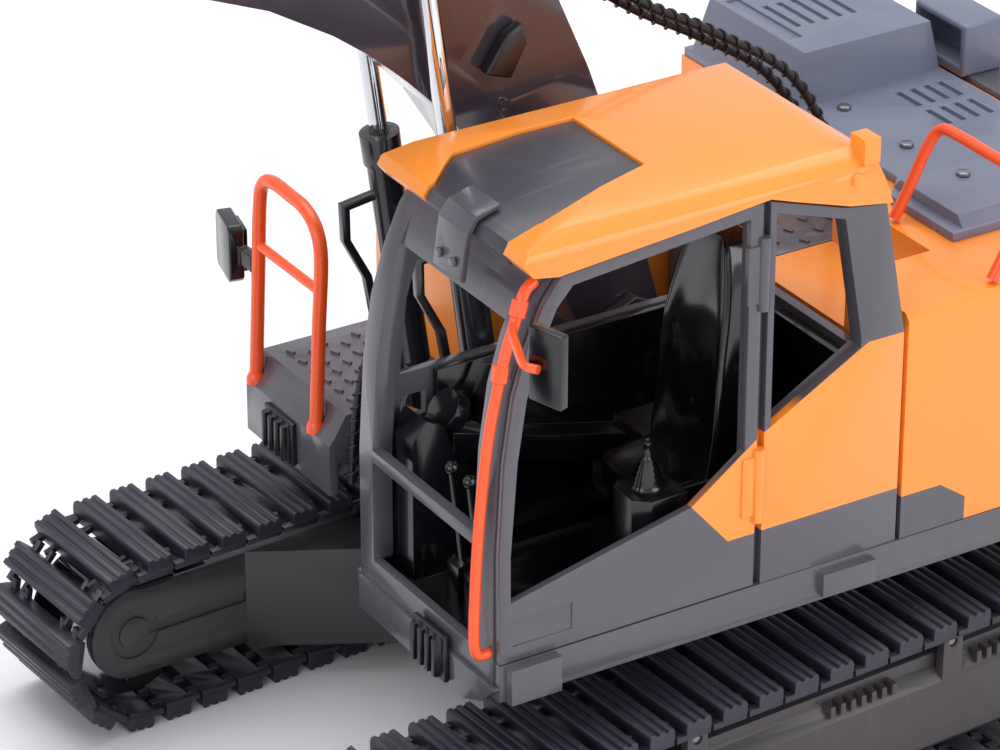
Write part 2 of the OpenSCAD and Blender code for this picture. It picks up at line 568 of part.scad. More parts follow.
// feed pipe of a boom cylinder, [along the barrel, out from it]
feed_pipe = [
  [60, 3], [60, 13.4], [50, 14.4], [38, 10.2], [22, 9.6], [20, 3], [22, 3], [24, 7.6], [38.4, 8.2],
  [50, 12.4], [58, 11.4], [58, 3]
];
module boom_barrel(x) {
  u = unit(cyl_pin - cyl_foot);
  a = [x, cyl_foot[0], cyl_foot[1]];
  d = [0, u[0], u[1]];
  difference() {
    union() {
      bar(a + 9 * d, a + 72 * d, 4.3);
      bar(a + 67 * d, a + 75 * d, 5);
      for (s = [-1, 1]) side(min(x + 2.2 * s, x + 4.4 * s), max(x + 2.2 * s, x + 4.4 * s),
        [[-38.6, 82], [-30.4, 82], [-32, 96], [-40, 96]]);
    }
    bar(a + 12 * d, a + 76 * d, 2.45);
  }
  shaft(2, x - 4.4, x + 4.4, cyl_foot);
  side(x - 1, x + 1, [for (q = feed_pipe) cyl_foot + q[0] * u + q[1] * [-u[1], u[0]]]);
}
module cyl_rod(x, pin, from, r, l, eye) {
  u = unit(pin - from);
  a = [x, pin[0], pin[1]];
  d = [0, u[0], u[1]];
  difference() {
    union() {
      bar(a - (eye - 1.2) * d, a - l * d, r);
      shaft(eye, x - 2.2, x + 2.2, pin);
    }
    shaft(3.6, x - 5, x + 5, pin);
  }
}
module boom_barrel_left() color("#3a363d") house() boom_barrel(cyl_x[0]);
module boom_barrel_right() color("#3a363d") house() boom_barrel(cyl_x[1]);
module boom_rod_left() color("#d5d6da") house() cyl_rod(cyl_x[0], cyl_pin, cyl_foot, 2.4, 104, 5.4);
module boom_rod_right() color("#d5d6da") house() cyl_rod(cyl_x[1], cyl_pin, cyl_foot, 2.4, 104, 5.4);

// ---------- arm and bucket ----------
module arm_plates(w, pts) side(boom_x - w, boom_x + w, pts);
arm_profile = [
  [-256, 309], [-246, 309], [-243, 303], [-250, 276], [-253, 262], [-250, 240], [-250, 180],
  [-251, 104], [-254, 94.6], [-261, 94.6], [-265, 100], [-266, 180], [-276, 234], [-276, 264], [-262, 290]
];
module arm() color("#4b454d") house() {
  difference() {
    union() {
      arm_plates(7.4, arm_profile);
      for (s = [-1, 1]) side(min(boom_x + 3 * s, boom_x + 6 * s), max(boom_x + 3 * s, boom_x + 6 * s),
        [[-274, 228], [-284, 236], [-291, 241], [-291, 247], [-287, 250], [-275, 252]]);
    }
    arm_plates(5.4, [[-256, 180], [-262, 180], [-270, 232], [-270, 250], [-257, 250]]);
    arm_plates(5.4, [[-256, 120], [-256, 176], [-262, 176], [-261, 120]]);
    arm_plates(3, [[-240, 294], [-240, 312], [-264, 312], [-264, 294]]);
    shaft(2.56, -60, 60, bucket_pin);
    shaft(2.06, -60, 60, rocker_pin);
    shaft(2.06, -60, 60, bucket_cyl_foot);
  }
  shaft(4, boom_x - 13.4, boom_x + 13.4, tip);
  for (x = [boom_x - 15, boom_x + 12.4]) shaft(6, x, x + 2.6, tip);
  shaft(2, boom_x - 7.4, boom_x + 7.4, arm_cyl_pin);
}
module straight_barrel(from, to, r, l, w) {
  u = unit(to - from);
  a = [boom_x, from[0], from[1]];
  d = [0, u[0], u[1]];
  difference() {
    union() {
      bar(a + 10 * d, a + l * d, r);
      bar(a + (l - 6) * d, a + (l + 2) * d, r + 0.7);
      shaft(4, boom_x - w, boom_x + w, from);
      bar(a, a + 12 * d, w);
    }
    bar(a + 13 * d, a + (l + 3) * d, r - 1.7);
  }
  shaft(2, boom_x - 7.2, boom_x + 7.2, from);
}
module arm_barrel() color("#3a363d") house() straight_barrel(arm_cyl_foot, arm_cyl_pin, 4.3, 92, 3.8);
module arm_rod() color("#d5d6da") house() cyl_rod(boom_x, arm_cyl_pin, arm_cyl_foot, 2.5, 90, 5.4);
module bucket_barrel() color("#3a363d") house() straight_barrel(bucket_cyl_foot, link_pin, 4, 74, 2.7);
module bucket_rod() color("#d5d6da") house() cyl_rod(boom_x, link_pin, bucket_cyl_foot, 2.2, 72, 5.4);
module rocker() color("#4b454d") house() {
  for (s = [-1, 1]) difference() {
    side(min(boom_x + 7.8 * s, boom_x + 9.6 * s), max(boom_x + 7.8 * s, boom_x + 9.6 * s),
      [[-256, 131], [-262, 132.4], [-291, 122.6], [-293, 116], [-288, 113.4], [-259, 123.4],
        [-255.4, 126]]);
    shaft(2.06, -60, 60, link_pin);
  }
  shaft(2, boom_x - 10.6, boom_x + 10.6, rocker_pin);
}
module bucket_link() color("#4b454d") house() {
  for (s = [-1, 1]) side(min(boom_x + 11 * s, boom_x + 12.8 * s), max(boom_x + 11 * s, boom_x + 12.8 * s),
    [[-292.6, 120], [-288, 122.6], [-283.6, 119], [-276.8, 94], [-277.6, 88.6], [-282, 87.4],
      [-285.4, 91]]);
  shaft(2, boom_x - 12.8, boom_x + 12.8, link_pin);
  shaft(2, boom_x - 12.8, boom_x + 12.8, bucket_link_pin);
}
bucket_side = [
  [-292, 82], [-300, 66], [-300, 48], [-292, 34], [-277, 25.6], [-256, 21.6], [-230, 20.4],
  [-234, 36], [-243, 62], [-250, 84], [-258, 85]
];
bucket_skin = [
  [-292, 82], [-300, 66], [-300, 48], [-292, 34], [-277, 25.6], [-256, 21.6], [-228, 20.2],
  [-228, 22.4], [-256, 23.8], [-276.2, 27.6], [-290.4, 35.4], [-297.8, 48.6], [-297.8, 65.4],
  [-290.6, 79.8], [-258, 83], [-258, 85]
];
module bucket() color("#4b454d") house() {
  x0 = boom_x - bucket_w / 2;
  x1 = boom_x + bucket_w / 2;
  side(x0, x1, bucket_skin);
  for (x = [x0, x1 - 1.8]) side(x, x + 1.8, bucket_side);
  for (s = [-1, 1]) difference() {
    side(min(boom_x + 8 * s, boom_x + 10.2 * s), max(boom_x + 8 * s, boom_x + 10.2 * s),
      [[-292, 82], [-290, 92], [-286, 97.6], [-281, 99], [-262, 106], [-256, 106.4], [-251.6, 101],
        [-253, 83.4]]);
    shaft(3.2, -60, 60, bucket_link_pin);
  }
  shaft(2.5, boom_x - 12, boom_x + 12, bucket_pin);
  for (k = [0:4]) translate([x0 + 6.4 + 14.8 * k, 0, 0]) side(-2.6, 2.6, [[-238, 18.4], [-219, 21.4],
    [-238, 25.2]]);
}

// ---------- door ----------
door_profile = [
  [-74.6, 72.2], [-4.4, 72.2], [-4.4, 172], [-58.7, 167.2], [-63, 161.3], [-67.2, 151.9],
  [-70.8, 139.9], [-73.2, 123.9], [-74.6, 100]
];
door_glass = [
  [-71.6, 87.6], [-22.4, 98.4], [-7.8, 109], [-7.8, 168.6], [-55.4, 164.4], [-59.6, 159.8],
  [-63.8, 150.6], [-67.4, 139], [-69.8, 123.4], [-71.6, 99.8]
];
hinge_at = [78.6, -4.15];
module door() color("#ffa850") house() {
  difference() {
    side(76.15, 78.2, door_profile);
    side(76, 79, door_glass);
    side(77.7, 79, [[-71, 76], [-55, 76], [-55, 83], [-71, 83]]);
  }
  for (z = [[89.6, 109], [145, 163.6]]) {
    translate([hinge_at[0], hinge_at[1], z[0]]) cylinder(r = 1.5, h = z[1] - z[0]);
    block([77.2, -8.6, z[0] + 2], [78.9, -4.6, z[1] - 2]);
  }
}

// ---------- inside and fixings ----------
module battery() color("#2b3f66") house() block([24, 50, deck_top], [66, 104, 92]);
module circuit_board() color("#1f5a3c") house() {
  block([-62, 86, deck_top], [-8, 120, 67.6]);
  block([-56, 92, 67.6], [-44, 104, 70]);
  block([-36, 92, 67.6], [-30, 112, 72]);
  for (k = [0:3]) block([-26, 90 + 7 * k, 67.6], [-14, 95 + 7 * k, 73]);
}
module slew_motor() color("#9a9ba0") house() {
  translate([0, gear_gap, deck_top + 0.1]) cylinder(r = 8, h = 24);
  translate([0, gear_gap, deck_top + 24]) cylinder(r = 3, h = 2.4);
}
module track_motors() color("#9a9ba0") chassis() for (s = [-1, 1])
  translate([s * gauge / 2, 16, 20]) rotate([-90, 0, 0]) cylinder(r = 5.8, h = 46);
module screws() color("#c8c9cc") house() {
  for (x = [-22.4, 4.6]) bolt_up([x, 91, 134.4], 1.9);
  for (p = [[31, 88.8], [31, 112]]) bolt_up([p[0], p[1], 137.4], 1.9);
  for (x = [-70, -40]) bolt_up([x, -8, 115.4], 1.7);
  for (x = [-56, -10, 10, 56]) bolt_up([x, 137, 133.4], 1.7);
}
boom_hose_a = [[-5, 74, 118.1], [-5, 75, 126], [-6, 73.4, 138], [-8, 63, 156], [-9, 42, 171],
  [-8, 20, 184], [-8, 2, 197], [-8, -14, 207]];
boom_hose_b = [[-13, 74, 118.1], [-13, 74.6, 125], [-14, 72.6, 137], [-15, 60, 155], [-14, 40, 169],
  [-13, 20, 181], [-12, 2, 194], [-12, -13, 204]];
module boom_hoses() color("#17161b") house() {
  hose(boom_hose_a, 1.5);
  hose(boom_hose_b, 1.5);
}
side_hose_a = [[-33.4, -49, 62.2], [-33.4, -47.6, 74], [-33.2, -44, 88], [-33, -39, 100],
  [-32.6, -33, 106]];
side_hose_b = [[-30.6, -51.2, 62.2], [-31.4, -50, 74], [-32, -47.6, 88], [-32.4, -43, 101],
  [-32.8, -37, 108]];
module side_hoses() color("#17161b") house() {
  hose(side_hose_a, 1.4);
  hose(side_hose_b, 1.4);
}

lower_frame();
track_frame_left();
track_frame_right();
slew_ring();
track_left();
track_right();
idler_left();
idler_right();
sprocket_left();
sprocket_right();
carrier_front_left();
carrier_rear_left();
carrier_front_right();
carrier_rear_right();
deck();
cab_frame();
cab_tub();
seat();
cab_levers();
roof();
sunroof();
roof_bracket();
cab_handrail();
cab_mirror();
side_handrail();
side_mirror();
body_shell();
hood();
exhaust_box();
rear_handrail();
counterweight();
side_platform();
tank_box();
work_lamps();
tread_plate();
boom_bracket();
battery();
circuit_board();
slew_motor();
track_motors();
screws();
slew_pinion();
door();
boom();
boom_lamp();
boom_barrel_left();
boom_barrel_right();
boom_rod_left();
boom_rod_right();
arm();
arm_barrel();
arm_rod();
bucket();
bucket_barrel();
bucket_rod();
rocker();
bucket_link();
boom_hoses();
side_hoses();
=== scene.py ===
"""Remote control crawler excavator: camera, studio, finishes and the pieces that are modelled here.

Points are given in millimetres round the slew axis, on the ground: -Y is ahead, +X is the cab side.
at() turns such a point into the frame's metres.
"""
import json
import math

import bpy
from mathutils import Matrix, Vector


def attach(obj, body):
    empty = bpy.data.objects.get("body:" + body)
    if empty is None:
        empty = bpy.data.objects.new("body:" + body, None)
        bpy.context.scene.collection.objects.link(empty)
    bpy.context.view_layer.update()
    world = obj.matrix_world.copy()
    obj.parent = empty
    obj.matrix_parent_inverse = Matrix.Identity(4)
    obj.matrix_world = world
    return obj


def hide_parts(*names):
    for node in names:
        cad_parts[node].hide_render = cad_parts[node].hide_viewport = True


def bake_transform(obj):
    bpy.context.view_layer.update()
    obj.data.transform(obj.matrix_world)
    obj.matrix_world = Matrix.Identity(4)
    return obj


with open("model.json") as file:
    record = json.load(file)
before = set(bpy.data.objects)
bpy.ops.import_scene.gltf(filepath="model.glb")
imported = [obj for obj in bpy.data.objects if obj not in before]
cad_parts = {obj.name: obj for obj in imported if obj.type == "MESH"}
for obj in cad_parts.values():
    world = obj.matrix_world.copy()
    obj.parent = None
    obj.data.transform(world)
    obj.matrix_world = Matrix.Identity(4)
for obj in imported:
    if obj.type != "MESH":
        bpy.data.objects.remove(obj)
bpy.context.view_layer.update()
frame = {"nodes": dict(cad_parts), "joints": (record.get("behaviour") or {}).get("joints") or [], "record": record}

MM = 0.001
NODES = frame["nodes"]
RECORD = frame["record"]
JOINTS = {joint["name"]: joint for joint in frame["joints"]}
SLEW_AXIS = Vector(JOINTS["slew"]["pos_m"])
BODY_OF = {node: body for body, nodes in RECORD["behaviour"]["bodies"].items() for node in nodes}
SLOT_OF = {part["node"]: part["material_slot"] for part in RECORD["subparts"]}


def at(x, y, z):
    """A point round the slew axis, in millimetres, as a frame vector in metres."""
    return Vector((x * MM + SLEW_AXIS.x, y * MM + SLEW_AXIS.y, z * MM))


# ---------- camera and studio ----------
CAMERA_PLACE = (831.1, -537.7, 607.4)
CAMERA_TILT = 62.5
CAMERA_TURN = 58.4
LENS = 162.2


def add_camera():
    data = bpy.data.cameras.new("camera")
    data.sensor_width = 36
    data.lens = LENS
    data.clip_end = 20
    camera = bpy.data.objects.new("camera", data)
    camera.location = at(*CAMERA_PLACE)
    camera.rotation_euler = (math.radians(CAMERA_TILT), 0, math.radians(CAMERA_TURN))
    bpy.context.scene.collection.objects.link(camera)
    bpy.context.scene.camera = camera


def add_softbox(name, place, target, width, power, tint=(1, 1, 1)):
    data = bpy.data.lights.new(name, "AREA")
    data.shape = "RECTANGLE"
    data.size = width[0]
    data.size_y = width[1]
    data.energy = power
    data.color = tint
    lamp = bpy.data.objects.new(name, data)
    lamp.location = place
    lamp.rotation_euler = (Vector(target) - Vector(place)).to_track_quat("-Z", "Y").to_euler()
    bpy.context.scene.collection.objects.link(lamp)


def add_studio():
    centre = (0, 0, 0.08)
    add_softbox("overhead", (-0.35, 0.1, 1.7), centre, (1.7, 1.3), 17)
    add_softbox("cab_side", (1.7, 0.75, 0.9), centre, (1.2, 1.2), 13)
    add_softbox("front", (0.5, -1.9, 0.7), centre, (1.5, 0.8), 9)
    world = bpy.data.worlds.new("studio")
    world.use_nodes = True
    world.node_tree.nodes["Background"].inputs["Color"].default_value = (0.93, 0.94, 1.0, 1)
    world.node_tree.nodes["Background"].inputs["Strength"].default_value = 0.75
    bpy.context.scene.world = world
    bpy.context.scene.view_settings.view_transform = "Standard"


# ---------- shader groups ----------
def new_group(name, inputs, outputs):
    """An empty shader group with named sockets, given as (name, socket kind, default)."""
    group = bpy.data.node_groups.new(name, "ShaderNodeTree")
    for label, kind, default in inputs:
        socket = group.interface.new_socket(name=label, in_out="INPUT", socket_type=kind)
        socket.default_value = default
    for label, kind in outputs:
        group.interface.new_socket(name=label, in_out="OUTPUT", socket_type=kind)
    start = group.nodes.new("NodeGroupInput")
    end = group.nodes.new("NodeGroupOutput")
    return group, start.outputs, end.inputs


def math_node(tree, operation, first, second=0.5, third=0.0):
    node = tree.nodes.new("ShaderNodeMath")
    node.operation = operation
    for socket, value in zip(node.inputs, (first, second, third)):
        if isinstance(value, bpy.types.NodeSocket):
            tree.links.new(value, socket)
        else:
            socket.default_value = value
    return node.outputs[0]


def mix_colour(tree, factor, first, second, blend="MIX"):
    node = tree.nodes.new("ShaderNodeMix")
    node.data_type = "RGBA"
    node.blend_type = blend
    for socket, value in zip((node.inputs[0], node.inputs[6], node.inputs[7]), (factor, first, second)):
        if isinstance(value, bpy.types.NodeSocket):
            tree.links.new(value, socket)
        else:
            socket.default_value = value
    return node.outputs[2]


def noise(tree, scale, detail=3.0, stretch=(1, 1, 1)):
    """Noise on Object coordinates, drawn out along an axis by stretch."""
    coord = tree.nodes.new("ShaderNodeTexCoord")
    mapping = tree.nodes.new("ShaderNodeMapping")
    mapping.inputs["Scale"].default_value = stretch
    texture = tree.nodes.new("ShaderNodeTexNoise")
    texture.inputs["Scale"].default_value = scale
    texture.inputs["Detail"].default_value = detail
    tree.links.new(coord.outputs["Object"], mapping.inputs["Vector"])
    tree.links.new(mapping.outputs["Vector"], texture.inputs["Vector"])
    return texture.outputs["Fac"]


def between(tree, value, low, high):
    """Value mapped from low..high to 0..1, clamped."""
    node = tree.nodes.new("ShaderNodeMapRange")
    node.inputs["From Min"].default_value = low
    node.inputs["From Max"].default_value = high
    tree.links.new(value, node.inputs["Value"])
    return node.outputs["Result"]


def make_moulded_grain():
    """Flow marks, a fine spark-eroded grain and uneven gloss, as injection moulding leaves."""
    group, given, result = new_group(
        "moulded_grain",
        [("Color", "NodeSocketColor", (0.5, 0.5, 0.5, 1)), ("Shade", "NodeSocketFloat", 0.1),
         ("Roughness", "NodeSocketFloat", 0.35), ("Spread", "NodeSocketFloat", 0.1)],
        [("Color", "NodeSocketColor"), ("Roughness", "NodeSocketFloat"), ("Height", "NodeSocketFloat")])
    flow = between(group, noise(group, 22, 4, (1, 1, 0.45)), 0.3, 0.7)
    darker = math_node(group, "MULTIPLY", flow, given["Shade"])
    group.links.new(mix_colour(group, darker, given["Color"], (0, 0, 0, 1)), result["Color"])
    shift = math_node(group, "MULTIPLY", math_node(group, "SUBTRACT", flow, 0.5), given["Spread"])
    group.links.new(math_node(group, "ADD", shift, given["Roughness"]), result["Roughness"])
    pores = noise(group, 2600, 2)
    waves = math_node(group, "MULTIPLY", noise(group, 60, 2), 1.6)
    group.links.new(math_node(group, "ADD", pores, waves), result["Height"])
    return group


def make_handling_marks():
    """Hairline scuffs and rubbed patches: a mask from 0, fresh, to 1, rubbed."""
    group, given, result = new_group(
        "handling_marks", [("Amount", "NodeSocketFloat", 0.3)], [("Mask", "NodeSocketFloat")])
    hairs = between(group, noise(group, 260, 5, (1, 0.05, 0.4)), 0.62, 0.7)
    across = between(group, noise(group, 240, 5, (0.06, 1, 0.5)), 0.63, 0.71)
    patches = between(group, noise(group, 15, 3), 0.48, 0.7)
    rubbed = math_node(group, "MULTIPLY", math_node(group, "MAXIMUM", hairs, across), patches)
    group.links.new(math_node(group, "MULTIPLY", rubbed, given["Amount"]), result["Mask"])
    return group


def make_settled_dust():
    """Pale specks that gather on faces that look up."""
    group, given, result = new_group(
        "settled_dust", [("Amount", "NodeSocketFloat", 0.2)], [("Mask", "NodeSocketFloat")])
    geometry = group.nodes.new("ShaderNodeNewGeometry")
    split = group.nodes.new("ShaderNodeSeparateXYZ")
    group.links.new(geometry.outputs["Normal"], split.inputs[0])
    upward = between(group, split.outputs["Z"], 0.3, 1.0)
    film = between(group, noise(group, 34, 5), 0.42, 0.75)
    specks = between(group, noise(group, 900, 2), 0.72, 0.78)
    fall = math_node(group, "ADD", math_node(group, "MULTIPLY", film, 0.45), specks)
    scaled = math_node(group, "MULTIPLY", fall, given["Amount"])
    group.links.new(math_node(group, "MULTIPLY", upward, scaled), result["Mask"])
    return group


GRAIN = make_moulded_grain()
MARKS = make_handling_marks()
DUST = make_settled_dust()
DUST_TINT = (0.62, 0.60, 0.58, 1)


def linear(hex_colour):
    """A web colour as linear RGBA."""
    parts = [int(hex_colour[i:i + 2], 16) / 255 for i in (1, 3, 5)]
    return tuple(c / 12.92 if c < 0.04045 else ((c + 0.055) / 1.055) ** 2.4 for c in parts) + (1.0,)


def placed(tree, group, **values):
    node = tree.nodes.new("ShaderNodeGroup")
    node.node_tree = group
    for label, value in values.items():
        if isinstance(value, bpy.types.NodeSocket):
            tree.links.new(value, node.inputs[label])
        else:
            node.inputs[label].default_value = value
    return node.outputs


PAINT_BLUR = 0.00004


def paint_inside(tree, edges, skin):
    """Mask that is 1 inside every edge and beyond the plane x = skin.

    An edge is (y, z, angle): a point on it, and the way to its inner side, in degrees up from +Y.
    """
    coord = tree.nodes.new("ShaderNodeTexCoord").outputs["Object"]
    across = tree.nodes.new("ShaderNodeSeparateXYZ")
    tree.links.new(coord, across.inputs[0])
    mask = math_node(tree, "SUBTRACT", across.outputs["X"], at(skin, 0, 0).x)
    for y, z, angle in edges:
        inward = Vector((0, math.cos(math.radians(angle)), math.sin(math.radians(angle))))
        dot = tree.nodes.new("ShaderNodeVectorMath")
        dot.operation = "DOT_PRODUCT"
        dot.inputs[1].default_value = inward
        tree.links.new(coord, dot.inputs[0])
        depth = math_node(tree, "SUBTRACT", dot.outputs["Value"], inward.dot(at(0, y, z)))
        mask = math_node(tree, "MINIMUM", mask, depth)
    return between(tree, mask, -PAINT_BLUR, PAINT_BLUR)


GRAIN_DEPTH = 0.00006
DRAWN_DEPTH = 0.00004
COAT_ROUGH = 0.08


def moulding(name, colour, rough, grain=0.12, shade=0.1, spread=0.08, marks=0.3, dust=0.15, coat=0.0,
             second=None, edges=None, skin=0):
    """A moulded or painted finish.

    second is another colour, laid inside the edges and beyond the plane x = skin.
    """
    material = bpy.data.materials.new(name)
    material.use_nodes = True
    tree = material.node_tree
    shader = tree.nodes["Principled BSDF"]
    base = linear(colour)
    if second:
        base = mix_colour(tree, paint_inside(tree, edges, skin), base, linear(second))
    body = placed(tree, GRAIN, Color=base, Shade=shade, Roughness=rough, Spread=spread)
    rubbed = placed(tree, MARKS, Amount=marks)["Mask"]
    dusty = placed(tree, DUST, Amount=dust)["Mask"]
    worn = mix_colour(tree, math_node(tree, "MULTIPLY", rubbed, 0.25), body["Color"], DUST_TINT)
    tree.links.new(mix_colour(tree, dusty, worn, DUST_TINT), shader.inputs["Base Color"])
    dull = math_node(tree, "ADD", body["Roughness"], math_node(tree, "MULTIPLY", rubbed, 0.25))
    dull = math_node(tree, "ADD", dull, math_node(tree, "MULTIPLY", dusty, 0.5))
    tree.links.new(dull, shader.inputs["Roughness"])
    bump = tree.nodes.new("ShaderNodeBump")
    bump.inputs["Strength"].default_value = grain
    bump.inputs["Distance"].default_value = GRAIN_DEPTH
    tree.links.new(body["Height"], bump.inputs["Height"])
    tree.links.new(bump.outputs["Normal"], shader.inputs["Normal"])
    shader.inputs["Coat Weight"].default_value = coat
    shader.inputs["Coat Roughness"].default_value = COAT_ROUGH
    return material


def turned_metal(name, colour, rough, lines=0.15):
    """Bright metal with the fine lines of turning or drawing along it."""
    material = bpy.data.materials.new(name)
    material.use_nodes = True
    tree = material.node_tree
    shader = tree.nodes["Principled BSDF"]
    body = placed(tree, GRAIN, Color=linear(colour), Shade=0.12, Roughness=rough, Spread=0.1)
    drawn = between(tree, noise(tree, 420, 4, (1, 1, 0.04)), 0.35, 0.65)
    tree.links.new(mix_colour(tree, math_node(tree, "MULTIPLY", drawn, lines), body["Color"],
                              linear("#5c5d61")), shader.inputs["Base Color"])
    rubbed = placed(tree, MARKS, Amount=0.5)["Mask"]
    tree.links.new(math_node(tree, "ADD", body["Roughness"], math_node(tree, "MULTIPLY", rubbed, 0.2)),
                   shader.inputs["Roughness"])
    bump = tree.nodes.new("ShaderNodeBump")
    bump.inputs["Strength"].default_value = 0.05
    bump.inputs["Distance"].default_value = DRAWN_DEPTH
    tree.links.new(drawn, bump.inputs["Height"])
    tree.links.new(bump.outputs["Normal"], shader.inputs["Normal"])
    shader.inputs["Metallic"].default_value = 1.0
    return material


# edges of the orange on the cab side, and of the grey patch on the shell behind it
CAB_PAINT = [(-22.4, 98.4, 40.7), (-12, 86.3, 90), (-22.4, 98.4, -54.2), (-4.8, 111.1, -61.6),
             (36.7, 128.2, -90)]
CAB_SKIN_X = 75.7
SHELL_PATCH = [(38, 83.4, -90), (50, 83.4, -125), (57.6, 72, 180)]

ORANGE = "#ff9634"
GREY = "#555259"
FINISH = {
    "chassis": moulding("chassis_plastic", "#403b3e", 0.34, shade=0.15, dust=0.12),
    "track": moulding("track_plastic", "#292a36", 0.42, grain=0.3, shade=0.2, dust=0.2, marks=0.5),
    "wheel": moulding("wheel_plastic", "#1d1c20", 0.4, dust=0.1),
    "roller": moulding("roller_plastic", "#8d8988", 0.3, dust=0.1),
    "gear_steel": turned_metal("ring_steel", "#b4b5b8", 0.3),
    "gear_brass": turned_metal("pinion_brass", "#cda24a", 0.28),
    "grey": moulding("cab_grey", GREY, 0.24, shade=0.06, coat=0.25),
    "hood_grey": moulding("hood_grey", "#6e7387", 0.3, shade=0.06, coat=0.2),
    "orange": moulding("body_orange", ORANGE, 0.27, shade=0.05, coat=0.3, dust=0.06, marks=0.15),
    "black": moulding("interior_black", "#0c0b10", 0.2, shade=0.2, coat=0.3, dust=0.05),
    "seat": moulding("seat_black", "#08080c", 0.17, shade=0.2, coat=0.4, dust=0.04),
    # the sunroof grey is partly the glass's smoked tint and partly painted sheen: the even grey gloss of the glass
    # is lightened into the base colour
    "dark_glass": moulding("sunroof_smoke_and_sheen", "#403f48", 0.35, grain=0.02, coat=0.1, dust=0.08),
    "rail": moulding("rail_orange", "#ff5c20", 0.3, shade=0.08, coat=0.2, dust=0.05),
    "boom_grey": moulding("boom_grey", "#3b353d", 0.16, grain=0.05, coat=0.6, dust=0.06),
    "barrel": moulding("barrel_black", "#1c1a1f", 0.24, coat=0.4, dust=0.08),
    "rod": turned_metal("rod_chrome", "#e4e5e8", 0.07, lines=0.05),
    "lamp": moulding("lamp_black", "#1d1b20", 0.3, dust=0.1),
    "hose": moulding("hose_rubber", "#0f0e12", 0.38, grain=0.3, dust=0.15),
    "battery": moulding("battery_wrap", "#22345c", 0.3, coat=0.3),
    "board": moulding("board_green", "#174b30", 0.35),
    "motor": turned_metal("motor_can", "#9a9ba0", 0.35),
    "screw": turned_metal("screw_steel", "#9b9ca3", 0.35),
}
TWO_TONE = moulding("cab_side_paint", GREY, 0.24, shade=0.05, coat=0.25, dust=0.04, marks=0.2,
                    second=ORANGE, edges=CAB_PAINT, skin=CAB_SKIN_X)
SHELL_TONE = moulding("shell_paint", ORANGE, 0.27, shade=0.05, coat=0.3, dust=0.06, marks=0.15,
                      second=GREY, edges=SHELL_PATCH, skin=CAB_SKIN_X)
DRIVE_PIN = moulding("drive_pin_black", "#24232a", 0.12, grain=0.03, coat=0.8, dust=0.05)
AXLE_STEEL = turned_metal("axle_screw_steel", "#c3c4c8", 0.16)


# ---------- modelling helpers ----------
def alone(piece):
    """Makes piece the only selected and the active object."""
    if bpy.context.object and bpy.context.object.mode != "OBJECT":
        bpy.ops.object.mode_set(mode="OBJECT")
    bpy.ops.object.select_all(action="DESELECT")
    piece.select_set(True)
    bpy.context.view_layer.objects.active = piece


def apply_modifiers(piece):
    alone(piece)
    for modifier in list(piece.modifiers):
        bpy.ops.object.modifier_apply(modifier=modifier.name)


def round_edges(piece, width, segments=2, angle=28):
    bevel = piece.modifiers.new("edges", "BEVEL")
    bevel.width = width * MM
    bevel.segments = segments
    bevel.limit_method = "ANGLE"
    bevel.angle_limit = math.radians(angle)
    bevel.harden_normals = False
    apply_modifiers(piece)


SMOOTH_ANGLE = 38


def finished(piece, name, slot, body, material=None, *nodes):
    """Names the piece, gives it its finish and lets it ride on its body, if it has one.

    The piece stands in for the CAD nodes that are named last.
    """
    alone(piece)
    bpy.ops.object.transform_apply(location=True, rotation=True, scale=True)
    bpy.ops.object.shade_smooth_by_angle(angle=math.radians(SMOOTH_ANGLE))
    piece.name = name
    piece.data.name = name
    if material:
        piece.data.materials.clear()
        piece.data.materials.append(material)
    if body:
        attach(piece, body)
    if nodes:
        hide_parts(*nodes)
    return piece


def copy_of(node):
    """A welded copy of a CAD node, with its flat faces whole again."""
    piece = NODES[node].copy()
    piece.data = NODES[node].data.copy()
    for key in list(piece.keys()):
        del piece[key]
    piece.parent = None
    bpy.context.scene.collection.objects.link(piece)
    alone(piece)
    bpy.ops.object.mode_set(mode="EDIT")
    bpy.ops.mesh.select_all(action="SELECT")
    bpy.ops.mesh.remove_doubles(threshold=0.000008)
    bpy.ops.mesh.dissolve_limited(angle_limit=math.radians(0.6))
    bpy.ops.object.mode_set(mode="OBJECT")
    return piece


def soften(node, width, segments=2, material=None, angle=28):
    """The node with its moulded edges rounded over."""
    piece = copy_of(node)
    round_edges(piece, width, segments, angle)
    slot = SLOT_OF[node]
    return finished(piece, node + "_moulded", slot, BODY_OF[node], material or FINISH[slot], node)


def paint_faces(piece, material, test):
    """A second finish on the faces whose centre passes the test."""
    piece.data.materials.append(material)
    index = len(piece.data.materials) - 1
    for face in piece.data.polygons:
        if test(face.center):
            face.material_index = index


add_camera()
add_studio()

bpy.ops.mesh.primitive_plane_add(size=8, location=(0, 0, 0))
floor = bpy.context.object
floor.name = "floor"
floor_paint = bpy.data.materials.new("floor_white")
floor_paint.use_nodes = True
floor_paint.node_tree.nodes["Principled BSDF"].inputs["Base Color"].default_value = (0.93, 0.93, 0.94, 1)
floor_paint.node_tree.nodes["Principled BSDF"].inputs["Roughness"].default_value = 0.7
floor.data.materials.append(floor_paint)

# every CAD node first gets the finish of its slot
for node_name, cad_node in NODES.items():
    cad_node.data.materials.clear()
    cad_node.data.materials.append(FINISH[SLOT_OF[node_name]])

